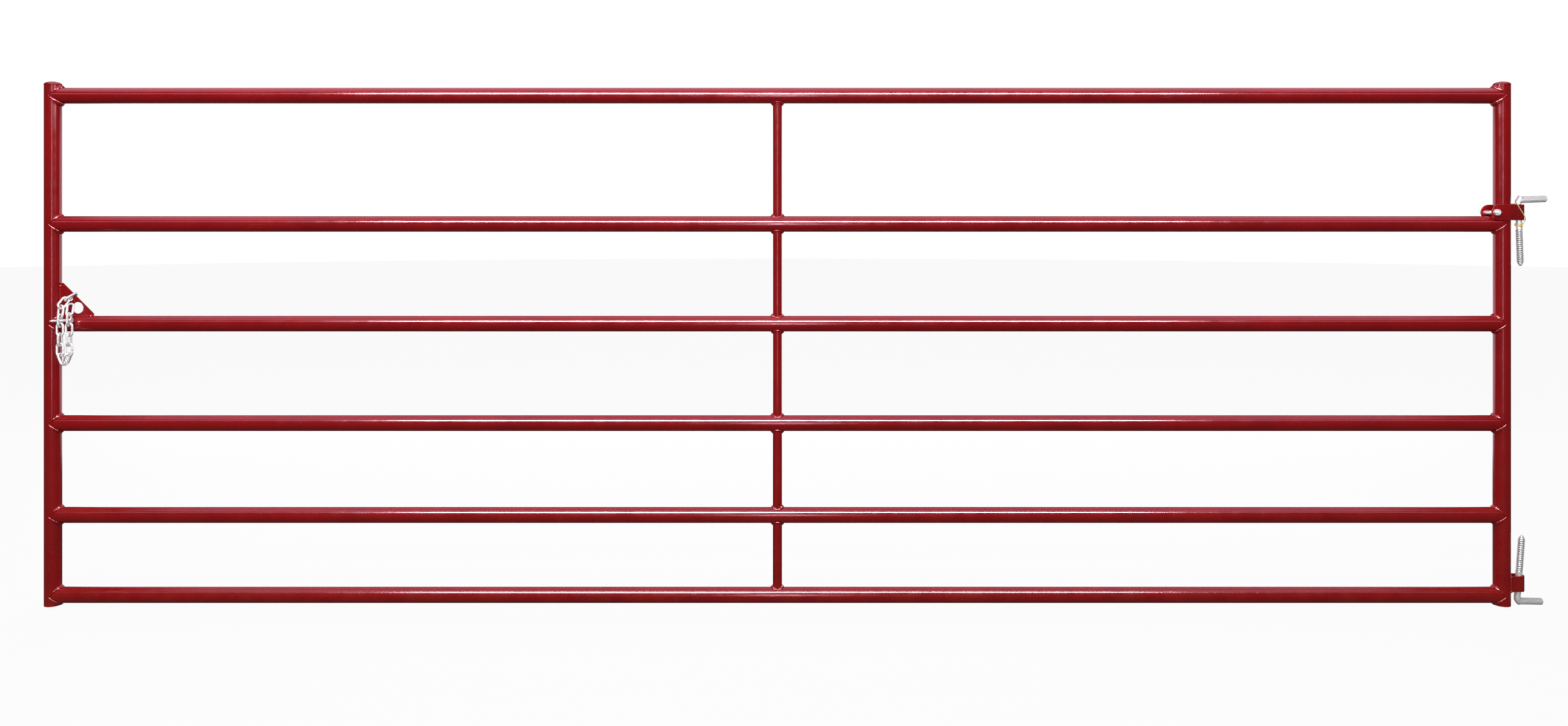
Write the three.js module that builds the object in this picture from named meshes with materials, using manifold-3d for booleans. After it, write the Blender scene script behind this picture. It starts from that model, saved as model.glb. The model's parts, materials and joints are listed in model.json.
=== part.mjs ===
// A six-rail tubular livestock gate, 12 ft by 50 in, with its hinge hardware and latch chain.
// Millimetres, +Z up. The gate stands in the XZ plane and runs towards -X from its hinge side.
// The origin is the centre of the welded lower hinge eye, on the gate's hinge axis.
import * as THREE from "three";
import { mergeVertices } from "three/addons/utils/BufferGeometryUtils.js";
import Module from "manifold-3d";

const wasm = await Module();
wasm.setup();

// ---- Driving dimensions ----
const gap = 0.3; // left between two pieces that touch

// The welded gate
const gateLength = 3556; // over the outer faces of the two uprights
const gateHeight = 1270; // from the foot of an upright to the crown of its cap
const tubeDiameter = 38.1;
const tubeWall = 1.6;
const bottomRailHeight = 24; // centre of the bottom rail above the foot
const railPitches = [194, 223, 241.5, 242]; // between rail centres, from the bottom rail up to rail 2
const topRailDrop = 34; // centre of the top rail below the crown of the caps
const braceDiameter = 22.2;
const braceWall = 1.5;
const capRise = 6.5;
const capThickness = 2;
const capSkirt = 7;

// The latch plate
const plateLeg = 85; // along the upright and along rail 3
const plateThickness = 4.8;
const plateSnip = 5; // cut off each sharp corner
const pullHoleDiameter = 28;
const pullHoleFromUpright = 41.7;
const pullHoleAboveRail = 19.5;
const chainHolePlay = 1.6; // in the hole, past two wires side by side
const chainHoleFromUpright = 24.2;
const chainHoleFromEdge = 13; // from the sloping edge to the centre of the hole

// The hinge eyes and the sliding collar
const hingeOffset = 40; // from the centre of the hinge upright to the hinge axis
const lowerEyeHeight = 53.5; // centre of the lower eye above the foot
const strapWidth = 38.1;
const strapThickness = 3.2;
const collarHeight = 952.7; // centre of the collar above the foot
const collarReach = 38; // from the centre of the upright to the rounded ends of the strap
const collarBendStart = 9; // where the strap's two sides leave the upright and close in on the eye
const collarBoltInset = 27.7; // from the centre of the upright to the bolt
const boltDiameter = 9.5;
const boltHeadAcrossFlats = 14.3;
const boltHeadThickness = 6.4;
const nutThickness = 8.3;
const boltEndStandout = 3; // of the bolt past its nut

// The screw hooks
const rodDiameter = 15.9; // of the pin, and over the thread
const eyeClearance = 3.1; // between the rod and the bore of an eye
const pinLength = 67; // from the shank's axis to the end of the pin
const pinChamfer = 1.6;
const neckStep = 0.85; // between the thread and the neck that it is rolled on
const neckLength = 72; // from the pin's axis to the first thread
const shankLength = 160.5; // from the pin's axis to the point
const pointLength = 10;
const pointDiameter = 5;
const knuckleRadius = 9; // the forged corner between shank and pin
const knuckleForward = 3.7;
const knuckleRaise = 2.95;
const elbowFillet = 3;
const upperHookLean = 2.2; // degrees, point of the shank away from the gate
const lowerHookLean = 4.1;
const lowerHookTurn = 9.5; // degrees, pin turned to the back of the gate
const lowerHookDrop = 44.6; // from the centre of the lower eye to the pin's axis

// The elastic tie band on the upper hook
const bandDiameter = 1.7;
const bandTurns = 2.25;
const bandPitch = 3.2;
const bandBelowCollar = 8; // from the collar's lower edge to the upper turn

// The chain and the lag screw kept in it
const wireDiameter = 5.5;
const linkInsideLength = 24.6;
const linkInsideWidth = 10;
const linkPlay = 0.4; // slack between two links
const anchorTilt = 38; // degrees, front of the anchor link below the plate's normal
const leftStrandFromUpright = 16.9; // from the upright's surface to the strand's centre line
const strandGap = 1; // between the links of the two strands
const leadSpan = 27.231; // between the two bows that the lead link joins
const firstLinkLean = 10; // degrees, top of that link towards the back
const firstLinkYaw = -20;
const leadShift = 1.5; // of the link that joins the anchor to the strand, out of the middle
const turnOverlap = -0.35; // of the two bottom links past the middle of the turn, over half a wire
const turnStagger = 0.85; // of the same two, one to the front and one to the back, over half a wire
const turnTwist = -20; // degrees
const endLinkSideLean = 8; // degrees, the free end link
const endLinkBackLean = 25;
const lagDiameter = 6.35;
const lagLength = 50.8; // under the head
const lagPoint = 7;
const lagHeadAcrossFlats = 11.1;
const lagHeadThickness = 4.4;
const lagSlope = 3; // degrees, head high

// Facets round a tube, a brace, a rod and a wire
const tubeSides = 24;
const braceSides = 16;
const rodSides = 16;
const wireSides = 6;
const linkSteps = 16;

// ---- Places worked out from the dimensions ----
const tubeRadius = tubeDiameter / 2;
const footZ = -lowerEyeHeight;
const crownZ = footZ + gateHeight;
const uprightTopZ = crownZ - capRise - gap;
const hingeX = -hingeOffset;
const latchX = hingeX - (gateLength - tubeDiameter);
const braceX = (hingeX + latchX) / 2;
const railZ = [footZ + bottomRailHeight];
for (const pitch of railPitches) railZ.push(railZ[railZ.length - 1] + pitch);
railZ.push(crownZ - topRailDrop);
const railNames = ["bottom_rail", "rail_5", "rail_4", "rail_3", "rail_2", "top_rail"];
const latchRailZ = railZ[railNames.indexOf("rail_3")];
const collarZ = footZ + collarHeight;
const rodRadius = rodDiameter / 2;
const eyeRadius = (rodDiameter + eyeClearance) / 2;
const strapMidRadius = eyeRadius + strapThickness / 2;
const strapMidY = tubeRadius + gap + strapThickness / 2;
const strapOuterY = strapMidY + strapThickness / 2;

// ---- Materials ----
function finish(colour, roughness, metalness) {
  return new THREE.MeshStandardMaterial({ color: colour, roughness, metalness });
}
const redEnamel = finish(0x8c1a1c, 0.28, 0.1);
const zinc = finish(0xc4c7c9, 0.3, 0.9);
const yellowRubber = finish(0xe2b13a, 0.6, 0);

// ---- Solids ----
function solid(geometry) {
  const bare = geometry.index ? geometry.clone() : mergeVertices(geometry.clone());
  bare.deleteAttribute("normal");
  bare.deleteAttribute("uv");
  const closed = mergeVertices(bare, 1e-4);
  return new wasm.Manifold(
    new wasm.Mesh({
      numProp: 3,
      vertProperties: closed.attributes.position.array,
      triVerts: new Uint32Array(closed.index.array),
    }),
  );
}

function geometryOf(body) {
  const mesh = body.getMesh();
  const geometry = new THREE.BufferGeometry();
  geometry.setAttribute("position", new THREE.BufferAttribute(mesh.vertProperties, 3));
  geometry.setIndex(new THREE.BufferAttribute(mesh.triVerts, 1));
  return geometry;
}

// A round bar between two points.
function bar(radius, from, to, sides) {
  const along = to.clone().sub(from);
  const turn = new THREE.Quaternion().setFromUnitVectors(
    new THREE.Vector3(0, 1, 0),
    along.clone().normalize(),
  );
  const geometry = new THREE.CylinderGeometry(radius, radius, along.length(), sides);
  geometry.applyQuaternion(turn);
  geometry.translate(...from.clone().add(to).multiplyScalar(0.5).toArray());
  return solid(geometry);
}

// A tube between two points. The bore runs past both ends, so it is open.
function tube(diameter, wall, from, to, sides) {
  const past = to.clone().sub(from).setLength(1);
  const bore = bar(diameter / 2 - wall, from.clone().sub(past), to.clone().add(past), sides);
  return bar(diameter / 2, from, to, sides).subtract(bore);
}

// An outline in X and Y, drawn as a prism from z = low to z = high.
function prism(points, low, high, holes = []) {
  const outline = new THREE.Shape(points);
  outline.holes = holes;
  const geometry = new THREE.ExtrudeGeometry(outline, {
    depth: high - low,
    bevelEnabled: false,
    curveSegments: 12,
  });
  geometry.translate(0, 0, low);
  return geometry;
}

function hexagon(acrossFlats) {
  const corner = acrossFlats / Math.sqrt(3);
  return Array.from({ length: 6 }, (_, i) => {
    const angle = (i * Math.PI) / 3;
    return new THREE.Vector2(corner * Math.cos(angle), corner * Math.sin(angle));
  });
}

function point(x, y, z) {
  return new THREE.Vector3(x, y, z);
}

const gate = new THREE.Group();
gate.name = "livestock_gate";

function addPiece(name, shape, material, parent = gate) {
  const geometry = shape.isBufferGeometry ? shape : geometryOf(shape);
  const mesh = new THREE.Mesh(geometry, material);
  mesh.name = name;
  parent.add(mesh);
  return mesh;
}

// ---- Uprights and their domed caps ----
function capGeometry() {
  const dome = (radius, rise, height) =>
    Array.from({ length: 7 }, (_, i) => {
      const share = i / 6;
      const bend = Math.sqrt(1 - share * share);
      return new THREE.Vector2(radius * share, height + rise * bend);
    });
  const skirtRadius = tubeRadius - tubeWall - gap;
  const outer = dome(tubeRadius, capRise, 0);
  const inner = dome(skirtRadius - capThickness, capRise - capThickness, 0);
  const profile = [
    ...inner,
    new THREE.Vector2(skirtRadius - capThickness, -capSkirt),
    new THREE.Vector2(skirtRadius, -capSkirt),
    new THREE.Vector2(skirtRadius, 0),
    ...outer.reverse(),
  ];
  const geometry = new THREE.LatheGeometry(profile, tubeSides);
  geometry.rotateX(Math.PI / 2);
  return geometry;
}

for (const [name, x] of [["latch_upright", latchX], ["hinge_upright", hingeX]]) {
  const upright = tube(tubeDiameter, tubeWall, point(x, 0, footZ), point(x, 0, uprightTopZ), tubeSides);
  addPiece(name, upright, redEnamel);
  const cap = addPiece(`${name}_cap`, capGeometry(), redEnamel);
  cap.position.set(x, 0, uprightTopZ + gap);
}

// ---- Rails, their ends cut to saddle the uprights ----
const uprightClearances = [latchX, hingeX].map((x) =>
  bar(tubeRadius + gap, point(x, 0, footZ - 10), point(x, 0, crownZ + 10), tubeSides),
);
railZ.forEach((z, i) => {
  let rail = tube(tubeDiameter, tubeWall, point(latchX, 0, z), point(hingeX, 0, z), tubeSides);
  for (const clearance of uprightClearances) rail = rail.subtract(clearance);
  addPiece(railNames[i], rail, redEnamel);
});

// ---- The centre brace, one short tube in each space between two rails ----
const braceRailClearances = railZ.map((z) =>
  bar(
    tubeRadius + gap,
    point(braceX - braceDiameter, 0, z),
    point(braceX + braceDiameter, 0, z),
    tubeSides,
  ),
);
for (let i = 0; i < railZ.length - 1; i++) {
  const [low, high] = [railZ[i], railZ[i + 1]].map((z) => point(braceX, 0, z));
  const brace = tube(braceDiameter, braceWall, low, high, braceSides)
    .subtract(braceRailClearances[i])
    .subtract(braceRailClearances[i + 1]);
  addPiece(`brace_${railZ.length - 1 - i}`, brace, redEnamel);
}

// ---- Latch plate: a 45 degree gusset in the corner over rail 3 ----
const chainHoleDiameter = 2 * wireDiameter + chainHolePlay;
const cornerX = latchX + tubeRadius;
const cornerZ = latchRailZ + tubeRadius;
// The chain hole sits chainHoleFromEdge inside the sloping edge, whose points add up to plateLeg.
const chainHole = new THREE.Vector2(
  chainHoleFromUpright,
  plateLeg - chainHoleFromEdge * Math.SQRT2 - chainHoleFromUpright,
);
function latchPlate() {
  const hole = (x, z, diameter) => {
    const path = new THREE.Path();
    path.absarc(x, z, diameter / 2, 0, 2 * Math.PI, true);
    return path;
  };
  const corners = [
    [gap, gap],
    [plateLeg - plateSnip, gap],
    [plateLeg - plateSnip, plateSnip],
    [plateSnip, plateLeg - plateSnip],
    [gap, plateLeg - plateSnip],
  ];
  const geometry = prism(
    corners.map(([x, z]) => new THREE.Vector2(x, z)),
    -plateThickness / 2,
    plateThickness / 2,
    [
      hole(pullHoleFromUpright, pullHoleAboveRail, pullHoleDiameter),
      hole(chainHole.x, chainHole.y, chainHoleDiameter),
    ],
  );
  geometry.rotateX(Math.PI / 2);
  return geometry;
}
addPiece("latch_plate", latchPlate(), redEnamel).position.set(cornerX, 0, cornerZ);

// ---- Hinge straps ----
// A strap bent round the eye: its centre line, given for the +Y side from the eye's crown to the end,
// is mirrored to the other side and thickened both ways.
function strapOutline(sideLine) {
  const mirrored = sideLine.map((p) => new THREE.Vector2(p.x, -p.y)).reverse();
  const line = [...mirrored, ...sideLine.slice(1)];
  const normals = line.map((p, i) => {
    const before = line[Math.max(i - 1, 0)];
    const after = line[Math.min(i + 1, line.length - 1)];
    const along = after.clone().sub(before).normalize();
    return new THREE.Vector2(along.y, -along.x);
  });
  const offset = (distance) => line.map((p, i) => p.clone().addScaledVector(normals[i], distance));
  return [...offset(strapThickness / 2), ...offset(-strapThickness / 2).reverse()];
}

// Centre-line points round the eye, from its crown on +X to the given angle in degrees.
function eyeArc(endAngle, steps = 10) {
  return Array.from({ length: steps + 1 }, (_, i) => {
    const angle = THREE.MathUtils.degToRad((endAngle * i) / steps);
    return new THREE.Vector2(strapMidRadius * Math.cos(angle), strapMidRadius * Math.sin(angle));
  });
}

// The lower eye's two ends butt on the side of the upright.
const lowerEyeLine = [...eyeArc(90), new THREE.Vector2(hingeX, strapMidRadius)];
const lowerEye = solid(prism(strapOutline(lowerEyeLine), -strapWidth / 2, strapWidth / 2)).subtract(
  uprightClearances[1],
);
addPiece("lower_hinge_eye", lowerEye, redEnamel);

// The collar's sides close in on the eye along a tangent from the bend.
const collar = new THREE.Group();
collar.position.set(0, 0, collarZ);
gate.add(collar);
const bend = new THREE.Vector2(hingeX + collarBendStart, strapMidY);
const tangentAngle = THREE.MathUtils.radToDeg(
  Math.atan2(bend.y, bend.x) - Math.acos(strapMidRadius / bend.length()),
);

// The radius, at an angle in degrees round the eye, that keeps as clear of the strap's straight side
// as the given radius is of the eye.
function rimClear(angle, radius) {
  const past = Math.max(0, Math.abs(angle) - tangentAngle);
  return radius / Math.cos(THREE.MathUtils.degToRad(past));
}

function collarStrap() {
  const line = [...eyeArc(tangentAngle), bend, new THREE.Vector2(hingeX - collarReach, strapMidY)];
  const strap = solid(prism(strapOutline(line), -strapWidth / 2, strapWidth / 2));
  const earX = hingeX - collarReach;
  const earRadius = strapWidth / 2;
  const side = new THREE.Shape();
  side.moveTo(strapMidRadius * 2, -strapWidth);
  side.lineTo(strapMidRadius * 2, strapWidth);
  side.lineTo(earX + earRadius, strapWidth);
  side.lineTo(earX + earRadius, earRadius);
  side.absarc(earX + earRadius, 0, earRadius, Math.PI / 2, (3 * Math.PI) / 2, false);
  side.lineTo(earX + earRadius, -strapWidth);
  const rounding = new THREE.ExtrudeGeometry(side, {
    depth: 4 * strapOuterY,
    bevelEnabled: false,
    curveSegments: 10,
  });
  rounding.translate(0, 0, -2 * strapOuterY);
  rounding.rotateX(Math.PI / 2);
  const boltX = hingeX - collarBoltInset;
  const boltHole = bar(
    boltDiameter / 2 + gap,
    point(boltX, -2 * strapOuterY, 0),
    point(boltX, 2 * strapOuterY, 0),
    rodSides,
  );
  return strap.intersect(solid(rounding)).subtract(boltHole);
}
addPiece("collar_strap", collarStrap(), redEnamel, collar);

// The collar's bolt lies along Y, head at the back and nut at the front.
const collarFastener = new THREE.Group();
collarFastener.position.set(hingeX - collarBoltInset, 0, 0);
collarFastener.rotation.x = Math.PI / 2; // local +Z points to the front
collar.add(collarFastener);

const nutStart = strapOuterY + gap;
const boltEnd = nutStart + nutThickness + boltEndStandout;
const boltHead = solid(
  prism(hexagon(boltHeadAcrossFlats), -nutStart - boltHeadThickness, -nutStart),
);
const boltShank = bar(boltDiameter / 2, point(0, 0, -nutStart - 1), point(0, 0, boltEnd), rodSides);
addPiece("collar_bolt", boltHead.add(boltShank), zinc, collarFastener);
const nutBore = bar(
  boltDiameter / 2 + gap,
  point(0, 0, 0),
  point(0, 0, boltEnd),
  rodSides,
);
const nut = solid(prism(hexagon(boltHeadAcrossFlats), nutStart, nutStart + nutThickness)).subtract(nutBore);
addPiece("collar_nut", nut, zinc, collarFastener);

// ---- Screw hooks ----
// Local frame: the shank's axis and the pin's axis cross at the origin, the shank points down and the
// pin along +X.
function screwHook() {
  const neck = rodRadius - neckStep;
  const profile = [
    [0, -shankLength],
    [pointDiameter / 2, -shankLength],
    [rodRadius, -shankLength + pointLength],
    [rodRadius, -neckLength - 1],
    [neck, -neckLength],
    [neck, 0],
    [0, 0],
  ].map(([r, z]) => new THREE.Vector2(r, z));
  const shankGeometry = new THREE.LatheGeometry(profile, rodSides);
  shankGeometry.rotateX(Math.PI / 2);
  const pinProfile = [
    [0, 0],
    [rodRadius, 0],
    [rodRadius, pinLength - pinChamfer],
    [rodRadius - pinChamfer, pinLength],
    [0, pinLength],
  ].map(([r, x]) => new THREE.Vector2(r, x));
  const pinGeometry = new THREE.LatheGeometry(pinProfile, rodSides);
  pinGeometry.rotateZ(-Math.PI / 2);
  const knuckleGeometry = new THREE.SphereGeometry(knuckleRadius, rodSides, rodSides / 2);
  knuckleGeometry.translate(knuckleForward, 0, knuckleRaise);
  return solid(shankGeometry).add(solid(pinGeometry)).add(solid(knuckleGeometry));
}

// The upper hook hangs by its elbow on the collar's eye, shank down.
const upperHookRise = strapWidth / 2 + rodRadius + elbowFillet + gap;
const upperHook = new THREE.Group();
upperHook.rotation.y = THREE.MathUtils.degToRad(-upperHookLean);
collar.add(upperHook);
addPiece("upper_screw_hook", screwHook(), zinc, upperHook).position.set(0, 0, upperHookRise);

// The lower hook stands upside down in the welded eye, pin at the bottom.
const lowerHook = new THREE.Group();
lowerHook.rotation.y = THREE.MathUtils.degToRad(lowerHookLean);
gate.add(lowerHook);
const lowerHookPiece = addPiece("lower_screw_hook", screwHook(), zinc, lowerHook);
lowerHookPiece.position.set(0, 0, -lowerHookDrop);
lowerHookPiece.rotation.order = "ZXY";
lowerHookPiece.rotation.x = Math.PI;
lowerHookPiece.rotation.z = THREE.MathUtils.degToRad(lowerHookTurn);

// ---- Elastic tie band: turns round the hook's thread, then up across the front of the eye and
// round over its upper rim. ----
class BandPath extends THREE.Curve {
  getPoint(share, target = new THREE.Vector3()) {
    const windShare = 0.5;
    const crossShare = 0.75;
    const windRadius = rodRadius + bandDiameter / 2 + 1;
    const rimRadius = eyeRadius + strapThickness + bandDiameter / 2 + 0.5;
    const topRadius = eyeRadius + strapThickness / 2 + 0.4;
    const lowZ = -strapWidth / 2 - bandBelowCollar;
    const rimZ = strapWidth / 2 + bandDiameter / 2 + gap;
    const startAngle = -20;
    const crossAngle = -100;
    const overRim = 180;
    let angle;
    let radius;
    let z;
    if (share < windShare) {
      const part = share / windShare;
      angle = startAngle - 360 * bandTurns * (1 - part);
      radius = windRadius;
      z = lowZ - bandPitch * bandTurns * (1 - part);
    } else if (share < crossShare) {
      const part = (share - windShare) / (crossShare - windShare);
      angle = startAngle + (crossAngle - startAngle) * part;
      radius = windRadius + (rimClear(angle, rimRadius) - windRadius) * Math.min(1, part / 0.1);
      z = lowZ + (rimZ - lowZ) * part;
    } else {
      const part = (share - crossShare) / (1 - crossShare);
      const rim = rimClear(crossAngle, rimRadius);
      angle = crossAngle - overRim * part;
      radius = rim + (topRadius - rim) * Math.min(1, part * 4);
      z = rimZ;
    }
    const turn = THREE.MathUtils.degToRad(angle);
    return target.set(radius * Math.cos(turn), radius * Math.sin(turn), z);
  }
}

function tieBand() {
  const section = new THREE.Shape();
  section.absarc(0, 0, bandDiameter / 2, 0, 2 * Math.PI, false);
  return new THREE.ExtrudeGeometry(section, {
    steps: 72,
    curveSegments: 3,
    bevelEnabled: false,
    extrudePath: new BandPath(),
  });
}
addPiece("tie_band", tieBand(), yellowRubber, collar);

// ---- Chain ----
const wireRadius = wireDiameter / 2;
const bowRadius = linkInsideWidth / 2 + wireRadius;
const bowReach = linkInsideLength / 2 + wireRadius; // from a link's centre to the middle of its bow
const linkPitch = linkInsideLength - linkPlay;
const bowSeat = wireDiameter + linkPlay / 2; // between the middles of two bows that hook each other

// A link lies in its local XZ plane, long way along Z: a ring pulled apart along its length.
function linkGeometry() {
  const ring = new THREE.TorusGeometry(bowRadius, wireRadius, wireSides, linkSteps);
  ring.rotateX(Math.PI / 2);
  ring.rotateY(Math.PI / linkSteps);
  const places = ring.attributes.position;
  for (let i = 0; i < places.count; i++) {
    const z = places.getZ(i);
    places.setZ(i, z + (Math.sign(z) * (linkInsideLength - linkInsideWidth)) / 2);
  }
  return ring;
}

// Places a link by its centre, the way its length points and the normal of its plane.
function addLink(name, centre, length, normal) {
  const link = addPiece(name, linkGeometry(), zinc);
  const z = length.clone().normalize();
  const y = normal.clone().addScaledVector(z, -normal.dot(z)).normalize();
  const x = y.clone().cross(z);
  link.quaternion.setFromRotationMatrix(new THREE.Matrix4().makeBasis(x, y, z));
  link.position.copy(centre);
}

// The anchor link goes round the strip of plate between the chain hole and the sloping edge.
const inPlate = point(Math.SQRT1_2, 0, Math.SQRT1_2); // across the strip, out of the plate
const alongEdge = point(Math.SQRT1_2, 0, -Math.SQRT1_2);
const tilt = THREE.MathUtils.degToRad(anchorTilt);
const anchorForward = point(0, -Math.cos(tilt), 0).addScaledVector(inPlate, -Math.sin(tilt));
const stripMiddle = point(cornerX + chainHole.x, 0, cornerZ + chainHole.y).addScaledVector(
  inPlate,
  (chainHoleFromEdge + chainHoleDiameter / 2) / 2,
);
const anchorReach = (linkInsideLength - linkInsideWidth) / 2;
const anchorCentre = stripMiddle.clone().addScaledVector(anchorForward, anchorReach);
addLink("chain_anchor_link", anchorCentre, anchorForward, alongEdge);

// Two strands hang in front of rail 3, the first link facing forward and every second one edge on.
const facing = point(0, -1, 0);
const edgeOn = point(1, 0, 0);
const up = point(0, 0, 1);
const strandY = -(tubeRadius + bowRadius + wireRadius + 0.5);
const leftX = cornerX + leftStrandFromUpright;
const strandSpacing = 2 * (bowRadius + wireRadius) + strandGap;
const rightX = leftX + strandSpacing;
// The lead link spans from the anchor's bow to the left strand's top seat, which sets the strand's height.
const anchorSeat = anchorCentre.clone().addScaledVector(anchorForward, bowReach - bowSeat);
const leadDrop = Math.sqrt(leadSpan ** 2 - (anchorSeat.x - leftX) ** 2 - (anchorSeat.y - strandY) ** 2);
const leftTopSeat = point(leftX, strandY, anchorSeat.z - leadDrop);
const firstZ = leftTopSeat.z - bowReach + bowSeat;
const lagClearance = 2 * (bowReach + wireRadius) + lagDiameter + 2 * linkPlay; // between the links it parts
const lagZ = firstZ - lagClearance / 2;
const thirdZ = firstZ - lagClearance;
const fifthZ = thirdZ - 2 * linkPitch;

// The way up, leaning by two angles in degrees: towards -X and towards the back.
function leaning(side, back) {
  const [sideTan, backTan] = [side, back].map((angle) => Math.tan(THREE.MathUtils.degToRad(angle)));
  return point(-sideTan, backTan, 1).normalize();
}

let linkCount = 0;
function nextLink(centre, length, normal) {
  linkCount += 1;
  addLink(`chain_link_${String(linkCount).padStart(2, "0")}`, centre, length, normal);
}

// The left strand's top link leans back a little towards the anchor. The lead link joins the two,
// its plane turned part of the way from the anchor's to the strand's.
const firstLength = leaning(0, firstLinkLean);
const firstFacing = facing.clone().applyAxisAngle(up, THREE.MathUtils.degToRad(firstLinkYaw));
const firstFoot = point(leftX, strandY, firstZ - bowReach);
const leadLength = anchorSeat.clone().sub(leftTopSeat).normalize();
const leadCentre = anchorSeat.clone().add(leftTopSeat).multiplyScalar(0.5);
leadCentre.addScaledVector(leadLength, leadShift).addScaledVector(edgeOn, -leadShift);
const leadFacing = point(0.84, -0.52, 0.15); // between edge on and facing, tipped a little up
nextLink(leadCentre, leadLength, leadFacing);
nextLink(firstFoot.addScaledVector(firstLength, bowReach), firstLength, firstFacing);

// Down the left strand.
for (const [z, normal] of [
  [lagZ, edgeOn],
  [thirdZ, facing],
  [thirdZ - linkPitch, edgeOn],
  [fifthZ, facing],
]) {
  nextLink(point(leftX, strandY, z), up, normal);
}

// The turn at the bottom: two links that lean together past each other, one behind and one in
// front, so that they hook.
const turnTopZ = fifthZ - bowReach + bowSeat;
const turnReach = strandSpacing / 2 + wireRadius + turnOverlap;
const turnSide = wireRadius + turnStagger;
const turnDrop = Math.sqrt((2 * bowReach) ** 2 - turnReach ** 2 - turnSide ** 2);
for (const side of [1, -1]) {
  const length = point(side * turnReach, -side * turnSide, -turnDrop).normalize();
  const top = point(side > 0 ? leftX : rightX, strandY, turnTopZ);
  const twisted = edgeOn.clone().applyAxisAngle(up, THREE.MathUtils.degToRad(turnTwist));
  nextLink(top.addScaledVector(length, bowReach), length, twisted);
}

// Up the right strand to its free end, which leans back on the plate.
const rightSecondZ = thirdZ + linkPitch;
for (const [z, normal] of [
  [fifthZ, facing],
  [thirdZ - linkPitch, edgeOn],
  [thirdZ, facing],
  [rightSecondZ, edgeOn],
]) {
  nextLink(point(rightX, strandY, z), up, normal);
}
const endLength = leaning(endLinkSideLean, endLinkBackLean);
const endFoot = point(rightX, strandY, rightSecondZ + bowReach - bowSeat);
nextLink(endFoot.addScaledVector(endLength, bowReach), endLength, facing);

// ---- The lag screw for the chain's end, kept through both strands ----
// Local frame: the point at the left strand's centre line, +Z along the screw towards its head.
const lagHeadStart = (strandSpacing + wireRadius + linkPlay) / Math.cos(THREE.MathUtils.degToRad(lagSlope));
function lagScrew() {
  const radius = lagDiameter / 2;
  const profile = [
    [0, -lagLength],
    [radius * 0.3, -lagLength],
    [radius, -lagLength + lagPoint],
    [radius, 1],
    [0, 1],
  ].map(([r, z]) => new THREE.Vector2(r, z + lagHeadStart));
  const shankGeometry = new THREE.LatheGeometry(profile, rodSides - 4);
  shankGeometry.rotateX(Math.PI / 2);
  const headGeometry = prism(hexagon(lagHeadAcrossFlats), lagHeadStart, lagHeadStart + lagHeadThickness);
  headGeometry.rotateZ(Math.PI / 6); // a flat side down
  return solid(shankGeometry).add(solid(headGeometry));
}
const lag = addPiece("chain_lag_screw", lagScrew(), zinc);
lag.position.set(leftX, strandY, lagZ);
lag.rotation.y = Math.PI / 2 - THREE.MathUtils.degToRad(lagSlope);

export default gate;
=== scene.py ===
"""Looks of a six-rail livestock gate: welded enamelled tubes, hinge hardware, screw hooks and latch chain.

Lengths are metres in the part's own frame: +Z up, the gate along X, its front towards -Y. Every place is
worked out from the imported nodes. Each surface is a grid of points computed as whole arrays.
"""
import json
from math import pi, radians, tau

import bmesh
import bpy
import numpy as np
from mathutils import Matrix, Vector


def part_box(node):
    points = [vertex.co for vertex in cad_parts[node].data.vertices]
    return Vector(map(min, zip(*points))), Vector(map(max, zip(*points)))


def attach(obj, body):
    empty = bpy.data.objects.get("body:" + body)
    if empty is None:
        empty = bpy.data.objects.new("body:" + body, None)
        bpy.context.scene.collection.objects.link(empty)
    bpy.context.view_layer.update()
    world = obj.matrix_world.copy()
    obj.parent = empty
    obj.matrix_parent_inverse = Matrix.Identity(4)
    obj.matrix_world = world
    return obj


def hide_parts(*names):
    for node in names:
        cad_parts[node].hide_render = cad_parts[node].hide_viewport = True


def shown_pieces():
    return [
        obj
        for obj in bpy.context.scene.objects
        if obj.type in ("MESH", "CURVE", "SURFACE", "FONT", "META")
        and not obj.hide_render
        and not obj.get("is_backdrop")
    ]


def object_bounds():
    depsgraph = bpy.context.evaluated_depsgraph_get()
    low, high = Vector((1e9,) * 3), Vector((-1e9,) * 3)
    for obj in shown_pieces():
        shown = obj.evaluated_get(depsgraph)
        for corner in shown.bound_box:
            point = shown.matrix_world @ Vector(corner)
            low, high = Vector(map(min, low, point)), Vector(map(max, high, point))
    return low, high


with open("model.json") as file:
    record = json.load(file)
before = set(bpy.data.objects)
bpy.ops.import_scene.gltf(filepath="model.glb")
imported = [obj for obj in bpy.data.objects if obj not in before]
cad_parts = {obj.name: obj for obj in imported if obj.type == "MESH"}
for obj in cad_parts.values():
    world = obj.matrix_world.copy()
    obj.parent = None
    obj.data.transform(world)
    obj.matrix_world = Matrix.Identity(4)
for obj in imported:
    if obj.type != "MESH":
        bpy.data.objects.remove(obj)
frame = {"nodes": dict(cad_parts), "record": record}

cad_low, cad_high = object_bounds()
X, Y, Z = np.eye(3)
MM = 0.001

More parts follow.
